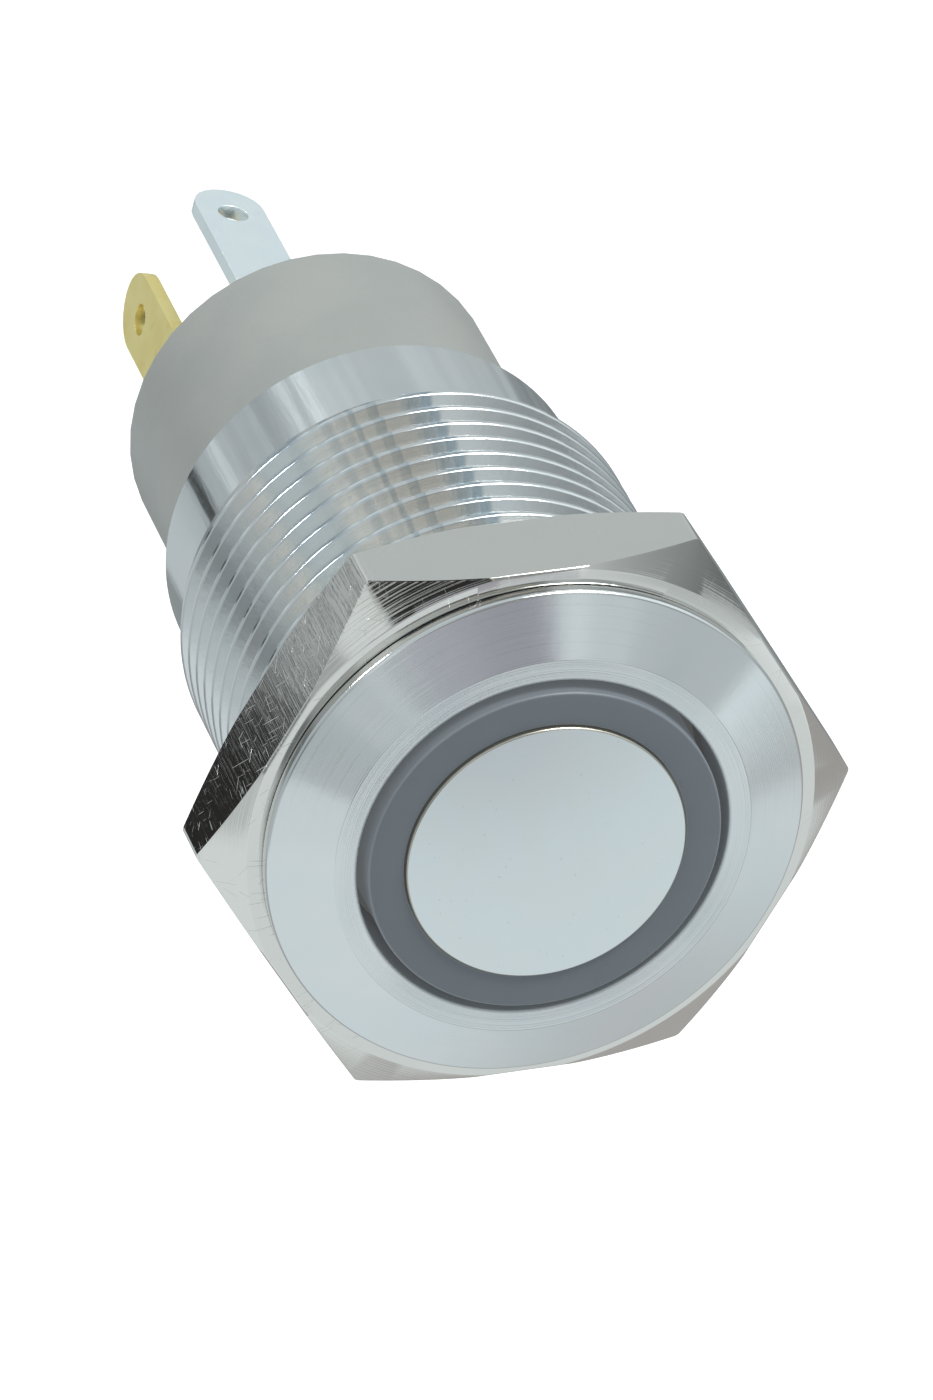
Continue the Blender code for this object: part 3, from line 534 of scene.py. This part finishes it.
finishes = {
    "bodyNickel": turnedNickel(),
    "nutNickel": scratchedNickel(),
    "cap": satinCap(),
    "guide": smokyPlastic(),
    "seal": rubber("seal rubber", 0.0),
    # painted light: this seal glows a little beside the light ring, so its gap shows grey
    "litSeal": rubber("seal rubber beside the light ring", 0.08),
    "housing": mouldedPlastic("grey housing", (0.295, 0.318, 0.305), (0.322, 0.342, 0.328), 0.40),
    "resin": mouldedPlastic("potting resin", (0.17, 0.18, 0.18), (0.22, 0.23, 0.23), 0.3, 1.6, 0.05),
    "plunger": mouldedPlastic("white plastic", (0.76, 0.76, 0.73), (0.82, 0.82, 0.79), 0.4),
    "retainer": mouldedPlastic("black plastic", (0.025, 0.025, 0.027), (0.035, 0.035, 0.035), 0.45),
    "silver": plated("silver plate", (0.90, 0.97, 0.99), (0.94, 0.99, 1.0), (0.76, 0.78, 0.74)),
    "gold": plated("gold plate", (0.95, 0.78, 0.30), (1.0, 0.86, 0.38), (0.78, 0.56, 0.20)),
    "bronze": plated("contact bronze", (0.66, 0.40, 0.22), (0.76, 0.50, 0.30), (0.45, 0.25, 0.12)),
    "spring": drawnSteel(),
    "board": boardLaminate(),
    "lamp": chipFinish("lamp body", (0.86, 0.80, 0.42), (0.75, 0.75, 0.73)),
    "resistor": chipFinish("resistor body", (0.02, 0.02, 0.025), (0.75, 0.75, 0.73)),
}
print("finishes made")


# Body: head, thread and tail in one piece

bodyShape = {
    "landRadius": 6.95, "rimStation": -0.41, "frontBore": 6.2, "rearBore": 6.55, "shoulder": 5.4,
    "sealGroove": 8.75, "grooveDepth": 0.42, "neck": 7.4, "tail": 7.3, "edge": 0.1, "fineEdge": 0.018,
    "rearLip": 0.03,
}
threadShape = {
    "pitch": 1.0, "steps": 96, "crest": 8.0, "root": 7.42, "start": 0.6, "end": 15.35,
    "rootRadius": 0.12, "crestRadius": 0.12, "flank": math.radians(30), "roundSteps": 4, "beyond": 0.004,
}


def threadProfile(inward):
    # the groove's outline from one crest to the next, with a rounded root and rounded crests
    t = threadShape
    depth, lean, steps = t["crest"] - t["root"], t["flank"], t["roundSteps"]
    bend = math.pi / 2 - lean
    turns = [bend * step / steps for step in range(steps + 1)]
    upper = [(t["rootRadius"] * (1 - math.cos(turn)), t["rootRadius"] * math.sin(turn)) for turn in turns]
    rootOut, rootHalf = upper[-1]
    crest = t["crestRadius"]
    rise = depth - crest + crest * math.cos(bend)
    centre = rootHalf + (rise - rootOut) * math.tan(lean) + crest * math.sin(bend)
    for turn in reversed(turns[1:]):
        upper.append((depth - crest + crest * math.cos(turn), centre - crest * math.sin(turn)))
    out, half = upper[-1]
    top = depth + t["beyond"]
    upper.append((top, half + (top - out) / math.tan(turns[1])))
    root, side = (t["root"], 1) if inward else (nutShape["threadRoot"], -1)
    lower = [(out, -half) for out, half in reversed(upper[1:])]
    return [(root + side * out, half) for out, half in upper + lower]


def makeBody():
    low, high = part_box("bezel_barrel")
    head, front, rear = high.x / mm, low.y / mm, high.y / mm
    s, t = bodyShape, threadShape
    leadIn = t["crest"] - s["neck"]
    outline = [
        (s["frontBore"], front), (s["landRadius"], front), (head, s["rimStation"]),
        (head, -s["rearLip"]), (head - s["rearLip"], 0.0),
        (s["sealGroove"], 0.0), (s["sealGroove"], -s["grooveDepth"]), (s["neck"], -s["grooveDepth"]),
        (s["neck"], t["start"]), (t["crest"], t["start"] + leadIn),
        (t["crest"], t["end"] - (t["crest"] - s["tail"])), (s["tail"], t["end"]), (s["tail"], rear),
        (s["rearBore"], rear), (s["rearBore"], s["shoulder"]), (s["frontBore"], s["shoulder"]),
    ]
    body = turnPiece("turned_body", outline)
    roundEdges(body, s["edge"], 5, 60)
    roundEdges(body, s["fineEdge"], 2, 20)
    turns = math.ceil(t["end"] - t["start"]) + 1
    tool = helixTool("thread_tool", threadProfile(True), t["pitch"], turns, t["start"] - 0.5)
    cutWith(body, tool)
    smooth(body, 32)
    keepFacesTrue(body)
    return fit(body, "switch_body", ["bezel_barrel"], finishes["bodyNickel"])


# Nut

nutShape = {
    "flats": 9.5, "bore": 8.05, "countersink": 0.35, "chamfer": math.radians(30),
    "cornerRound": 0.12, "edge": 0.03, "threadRoot": 8.62, "clear": 0.1,
}


def makeNut():
    low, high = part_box("hex_nut")
    front, rear = low.y / mm, high.y / mm
    s = nutShape
    corner = s["flats"] / math.cos(math.radians(30))
    selectNothing()
    bpy.ops.mesh.primitive_cylinder_add(vertices=6, radius=corner * mm, depth=(rear - front) * mm,
                                        location=(0, (front + rear) / 2 * mm, 0),
                                        rotation=(math.radians(90), math.radians(90), 0))
    nut = bpy.context.object
    nut.name = "nut_blank"
    bpy.ops.object.transform_apply(location=True, rotation=True, scale=True)
    roundEdges(nut, s["cornerRound"], 4, 50)
    fall = (corner - s["flats"]) * math.tan(s["chamfer"])
    beyond = corner + s["clear"]
    drop = fall + s["clear"] * math.tan(s["chamfer"])
    # a turned solid that takes the chamfers off the hexagon and opens its bore
    blank = turnPiece("nut_blank_shape", [
        (s["bore"], front + s["countersink"]), (s["bore"] + s["countersink"], front), (s["flats"], front),
        (beyond, front + drop), (beyond, rear - drop), (s["flats"], rear),
        (s["bore"] + s["countersink"], rear), (s["bore"], rear - s["countersink"]),
    ])
    roundEdges(blank, s["edge"], 2, 20)
    applyModifier(nut, "BOOLEAN", operation="INTERSECT", solver="EXACT", object=blank)
    bpy.data.objects.remove(blank, do_unlink=True)
    weld(nut, 0.002)
    turns = math.ceil((rear - front) / threadShape["pitch"]) + 2
    tool = helixTool("nut_thread_tool", threadProfile(False), threadShape["pitch"], turns, front - 1.0)
    cutWith(nut, tool)
    weld(nut, 0.003)
    smooth(nut, 28)
    keepFacesTrue(nut)
    return fit(nut, "nut", ["hex_nut"], finishes["nutNickel"])


# Button: cap and light guide

capShape = {"bevel": 0.05, "edge": 0.015, "spigot": 1.2}
guideShape = {
    "outer": 5.89, "recess": 4.72, "seat": -0.67, "floor": 0.33, "inner": 4.69, "hole": 1.25,
    "flangeStation": 5.5, "grooveRadius": 5.39, "grooveLow": 1.44, "grooveHigh": 2.36, "edge": 0.1,
    "lip": 0.02,
}


def makeCap():
    low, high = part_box("button_cap")
    edge, face, end = high.x / mm, low.y / mm, high.y / mm
    back, s = face + 0.9, capShape
    cap = turnPiece("button_disc", [
        (0.0, face), (edge - s["bevel"], face), (edge, face + s["bevel"]), (edge, back),
        (s["spigot"], back), (s["spigot"], end - s["bevel"]), (s["spigot"] - s["bevel"], end), (0.0, end),
    ])
    roundEdges(cap, s["edge"], 2)
    smooth(cap, 25)
    keepFacesTrue(cap)
    return fit(cap, "button", ["button_cap"], finishes["cap"])


def makeGuide():
    low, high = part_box("light_guide")
    flange, face, end = high.x / mm, low.y / mm, high.y / mm
    s = guideShape
    guide = turnPiece("light_ring", [
        (s["hole"], s["seat"]), (s["recess"], s["seat"]), (s["recess"], face + s["lip"]),
        (s["recess"] + s["lip"], face), (s["outer"], face),
        (s["outer"], s["grooveLow"]), (s["grooveRadius"], s["grooveLow"]),
        (s["grooveRadius"], s["grooveHigh"]), (s["outer"], s["grooveHigh"]),
        (s["outer"], s["flangeStation"]), (flange, s["flangeStation"]), (flange, end),
        (s["inner"], end), (s["inner"], s["floor"]), (s["hole"], s["floor"]),
    ])
    roundEdges(guide, s["edge"], 4, 60)
    roundEdges(guide, s["lip"] / 3, 2, 40)
    smooth(guide, 35)
    keepFacesTrue(guide)
    return fit(guide, "button", ["light_guide"], finishes["guide"])


# Return spring, at rest; the real one shortens as the button is pressed, but nothing here moves it

springShape = {"radius": 3.275, "wire": 0.45, "turns": 6.5, "deadTurns": 1.0, "deadPitch": 0.55,
               "start": 1.655, "end": 9.125, "turn": 13.0, "fixedEnd": 9.35}


def makeSpring():
    s = springShape
    deadRise = s["deadPitch"] * s["deadTurns"]
    livePitch = (s["end"] - s["start"] - 2 * deadRise) / (s["turns"] - 2 * s["deadTurns"])
    curve = bpy.data.curves.new("coil_spring", "CURVE")
    curve.dimensions = "3D"
    curve.bevel_depth = s["wire"] / 2 * mm
    curve.bevel_resolution = 5
    curve.use_fill_caps = True
    stepsPerTurn = 40
    steps = round(s["turns"] * stepsPerTurn)
    wire = curve.splines.new("POLY")
    wire.points.add(steps)
    for index, point in enumerate(wire.points):
        turn = index / stepsPerTurn
        early = min(turn, s["deadTurns"])
        late = max(turn - (s["turns"] - s["deadTurns"]), 0.0)
        station = s["start"] + (early + late) * s["deadPitch"] + (turn - early - late) * livePitch
        angle = math.tau * turn + math.radians(s["turn"])
        x, z = s["radius"] * math.cos(angle), -s["radius"] * math.sin(angle)
        point.co = (x * mm, station * mm, z * mm, 1.0)
    spring = bpy.data.objects.new("coil_spring", curve)
    scene.collection.objects.link(spring)
    pick(spring)
    bpy.ops.object.convert(target="MESH")
    spring = bpy.context.object
    smooth(spring, 60)
    fit(spring, "switch_body", ["return_spring"], finishes["spring"])
    length = s["fixedEnd"] - (s["start"] - s["wire"] / 2)
    travel = next(joint for joint in frame["joints"] if joint["name"] == "button_press")["range_m"][1] / mm
    (length - travel) / length
    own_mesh(spring)
    return spring


makeBody()
print("body turned and threaded")
makeNut()
print("nut cut")
makeCap()
makeGuide()
makeSpring()
print("button and spring made")


# Pieces whose CAD solid has the right shape, with rounded edges

dressed = {
    "panel_seal": ("head_seal_ring", "switch_body", 0.0, "seal", "seal_rubber"),
    "button_seal": ("button_seal_ring", "button", 0.0, "litSeal", "seal_rubber"),
    "plunger": ("keyed_plunger", "button", 0.05, "plunger", "white_plastic"),
    "sliding_contact": ("contact_bridge", "button", 0.02, "bronze", "contact_bronze"),
    "contact_retainer": ("retainer_bush", "button", 0.05, "retainer", "black_plastic"),
    "lamp_board": ("ring_board", "switch_body", 0.03, "board", "board_laminate"),
    "lamp_resistor": ("chip_resistor", "switch_body", 0.02, "resistor", "resistor_body"),
    "base_housing": ("rear_housing", "switch_body", 0.08, "housing", "grey_plastic"),
    "terminal_plate": ("resin_plate", "switch_body", 0.05, "resin", "grey_resin"),
    "terminal_common": ("common_tab", "switch_body", 0.045, "silver", "silver_plate"),
    "terminal_normally_closed": ("closed_tab", "switch_body", 0.045, "silver", "silver_plate"),
    "terminal_normally_open": ("open_tab", "switch_body", 0.045, "silver", "silver_plate"),
    "terminal_lamp_plus": ("lamp_plus_tab", "switch_body", 0.045, "gold", "gold_plate"),
    "terminal_lamp_minus": ("lamp_minus_tab", "switch_body", 0.045, "gold", "gold_plate"),
}
for index in range(1, 5):
    dressed[f"lamp_{index}"] = (f"lamp_chip_{index}", "switch_body", 0.02, "lamp", "lamp_body")
for node, (name, body, width, finish, slot) in dressed.items():
    fit(copyNode(node, name, width), body, [node], finishes[finish])
print("other pieces dressed")


# Camera, at the photograph's angle

view = {"place": (-80.81, -258.524, 172.414), "azimuth": -16.884, "elevation": 31.763, "roll": 1.604,
        "focalPixels": 10000.0, "longSide": 1400.0, "sensor": 36.0}


def addCamera():
    azimuth, elevation = math.radians(view["azimuth"]), math.radians(view["elevation"])
    back = Vector((math.sin(azimuth) * math.cos(elevation), -math.cos(azimuth) * math.cos(elevation),
                   math.sin(elevation)))
    camera = bpy.data.objects.new("camera", bpy.data.cameras.new("camera"))
    camera.data.sensor_width = view["sensor"]
    camera.data.lens = view["sensor"] * view["focalPixels"] / view["longSide"]
    camera.data.clip_start, camera.data.clip_end = 0.01, 10.0
    turn = back.to_track_quat("Z", "Y").to_matrix().to_4x4() @ Matrix.Rotation(math.radians(view["roll"]), 4, "Z")
    camera.matrix_world = Matrix.Translation(Vector(view["place"]) * mm) @ turn
    scene.collection.objects.link(camera)
    scene.camera = camera


# Pale studio. The shiny turned faces show it as strips that fan out from the direction mirrored by the
# flat front: every strip is a screen or a gap between screens, at an angle around that direction.

studio = {
    "plain": 0.62,                                            # level for everything that isn't shiny
    "mirrored": (0.247, -0.526),                              # x and z of the mirrored direction
    "cool": (0.91, 1.0, 1.03), "violet": (1.0, 1.0, 1.12),
    "table": (0.86, 0.82), "tableSides": (-0.25, 0.15), "tableEdge": (-0.51, -0.41),
    "underside": 0.46, "undersideStart": (-0.30, 0.02), "tableEnd": (0.76, 0.84, 0.42),
    "gapTurn": (97.0, 99.5, 120.0, 121.0), "gapAway": (0.84, 0.89, 1.03, 1.07), "gapLevel": 0.03,
    "warm": (0.96, 0.86, 0.66), "warmAway": (1.0, 1.06), "warmTurn": (80.0, 95.0, 132.0, 150.0),
    "warmAhead": (-0.832, -0.824, -0.804, -0.796),
    "slotTurn": (150.2, 150.72, 153.4, 154.8), "slotLevel": 0.025,
}
# angle in degrees and level, for the faces that look ahead a little, ahead a lot, up and to the rear
strips = {
    "near": [(-30, 0.84), (15, 0.95), (34, 0.94), (37, 0.62), (55, 0.60), (67, 0.65), (68, 0.74),
             (79, 0.74), (79.6, 0.88), (85.0, 0.88), (89.0, 0.43), (96, 0.42), (118, 0.45),
             (127, 0.50), (128, 0.68), (141, 0.70), (142, 0.60), (158, 0.60), (159, 0.82)],
    "far": [(-10, 0.34), (35, 0.36), (43, 0.22), (53, 0.20), (60, 0.30), (75, 0.50), (83, 0.72),
            (87.5, 0.66), (88.5, 0.28), (95, 0.26), (102, 0.34), (112, 0.60), (119.5, 0.66),
            (121.5, 0.84), (130.5, 0.84), (132.5, 0.48), (145, 0.48), (148, 0.26), (157, 0.26),
            (162, 0.64), (172, 0.62), (180, 0.70)],
    "up": [(0, 0.45), (35, 0.50), (60, 1.05), (82, 1.05), (89, 0.68), (125, 0.66), (140, 0.60),
           (152, 0.50), (180, 0.60)],
    "rear": [(-10, 0.32), (20, 0.26), (38, 0.26), (51, 0.30), (60, 0.56), (80, 0.66), (87.0, 0.74),
             (87.6, 0.25), (88.4, 0.62), (97, 0.62), (103, 0.70), (118, 0.84), (123, 0.46),
             (131, 0.52), (142, 0.62), (149, 0.52), (156, 0.56), (165, 0.64), (180, 0.60)],
}
violetFrom = 0.47                                             # strips below this level in front are violet


def stripStops(name):
    stops = []
    for degrees, level in strips[name]:
        cool = name != "near" or level > violetFrom
        tint = studio["cool"] if cool else studio["violet"]
        stops.append(((degrees + 180) / 360, tuple(level * part for part in tint)))
    return stops


def lightStudio():
    world = bpy.data.worlds.new("pale studio")
    scene.world = world
    world.use_nodes = True
    look = NodeTree(world.node_tree)
    split = look.tree.nodes.new("ShaderNodeSeparateXYZ")
    plug(look.tree, split.inputs[0], look.node("TexCoord", output=3))
    x, y, z = [Channel(look.tree, output) for output in split.outputs]
    aside, above = x - studio["mirrored"][0], z - studio["mirrored"][1]
    turn = look.node("Math", {"operation": "ARCTAN2"}, {0: above, 1: aside}) / math.tau + 0.5
    away = (aside * aside + above * above) ** 0.5
    near, far, up, rear = [look.ramp(turn, *stripStops(name)) for name in ("near", "far", "up", "rear")]
    seen = look.mix(look.fade(away, 0.75, 0.81), near, far)
    seen = look.mix(look.fade(y, -0.60, -0.35), seen, up)
    degrees = turn * 360.0 - 180.0
    # a narrow gap between two screens
    gap = look.window(degrees, *studio["gapTurn"]) * look.window(away, *studio["gapAway"])
    seen = look.mix(gap, seen, (studio["gapLevel"],) * 3)
    # a warm strip that only the seam beside the head shows
    warm = look.window(degrees, *studio["warmTurn"]) * look.window(y, *studio["warmAhead"])
    seen = look.mix(warm * look.fade(away, *studio["warmAway"]), seen, studio["warm"])
    # fine folds in the screen behind, and a dark slot
    folds = look.node("TexNoise", {"noise_dimensions": "1D"}, {"W": turn, "Scale": 110.0, "Detail": 4.0})
    folded = look.window(degrees, 94.0, 102.0, 143.0, 149.0)
    folded = folded + look.window(degrees, 20.0, 40.0, 76.0, 84.0) * 0.5
    rear = look.mix(folded, rear, 0.1 + folds * 1.8, "MULTIPLY")
    rear = look.mix(look.window(degrees, *studio["slotTurn"]), rear, (studio["slotLevel"],) * 3)
    # the table in front, its far end and what lies under it
    left, right = [tuple(level * part for part in studio["cool"]) for level in studio["table"]]
    table = look.mix(look.fade(x, *studio["tableSides"]), left, right)
    table = look.mix(look.fade(y, *studio["undersideStart"]), table, (studio["underside"],) * 3)
    seen = look.mix(look.fade(z, *studio["tableEdge"]), table, seen)
    start, stop, level = studio["tableEnd"]
    seen = look.mix(look.fade(x, start, stop) * look.fade(0.0 - z, 0.1, 0.3), seen, (level,) * 3)
    seen = look.mix(look.fade(y, 0.35, 0.60), seen, rear)
    # plain light for everything matt, and white behind the object
    path = look.tree.nodes.new("ShaderNodeLightPath")
    camera, diffuse = [Channel(look.tree, path.outputs[name]) for name in ("Is Camera Ray", "Is Diffuse Ray")]
    seen = look.mix(diffuse, seen, (studio["plain"],) * 3)
    seen = look.mix(camera, seen, (1.0, 1.0, 1.0))
    plug(look.tree, look.tree.nodes["Background"].inputs["Color"], seen)


lampAim = (0.0, 12.0, 0.0)                                    # mm
lampGloss = 0.35                                              # share of a lamp that shiny faces show
lamps = {
    # place in mm, size in mm, power in watts, colour
    "key_lamp": ((120.0, -60.0, 260.0), 120.0, 0.55, (1.0, 0.99, 0.97)),
    "side_lamp": ((-220.0, 120.0, 200.0), 60.0, 0.22, (0.97, 0.99, 1.0)),
}


def addLamps():
    for name, (place, size, power, colour) in lamps.items():
        light = bpy.data.lights.new(name, "AREA")
        light.size = size * mm
        light.energy = power
        light.color = colour
        light.specular_factor = lampGloss
        lamp = bpy.data.objects.new(name, light)
        lamp.location = Vector(place) * mm
        lamp.rotation_euler = (lamp.location - Vector(lampAim) * mm).to_track_quat("Z", "Y").to_euler()
        scene.collection.objects.link(lamp)


floorShape = {"below": 45.0, "size": 4000.0, "colour": (0.86, 0.87, 0.87), "lift": 0.35}


def addFloor():
    selectNothing()
    low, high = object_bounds()
    bpy.ops.mesh.primitive_plane_add(size=floorShape["size"] * mm,
                                     location=(0, 0, low.z - floorShape["below"] * mm))
    floor = bpy.context.object
    floor.name = "floor"
    material = bpy.data.materials.new("pale floor")
    material.use_nodes = True
    look = NodeTree(material.node_tree)
    shader = look.tree.nodes["Principled BSDF"]
    shader.inputs["Base Color"].default_value = (*floorShape["colour"], 1.0)
    shader.inputs["Roughness"].default_value = 0.9
    shader.inputs["Emission Color"].default_value = (1.0, 1.0, 1.0, 1.0)
    camera = look.node("LightPath")
    plug(look.tree, shader.inputs["Emission Strength"], camera * floorShape["lift"])
    floor.data.materials.append(material)
    floor.visible_glossy = False


addCamera()
lightStudio()
addLamps()
addFloor()
scene.view_settings.view_transform = "Standard"

print("scene ready")
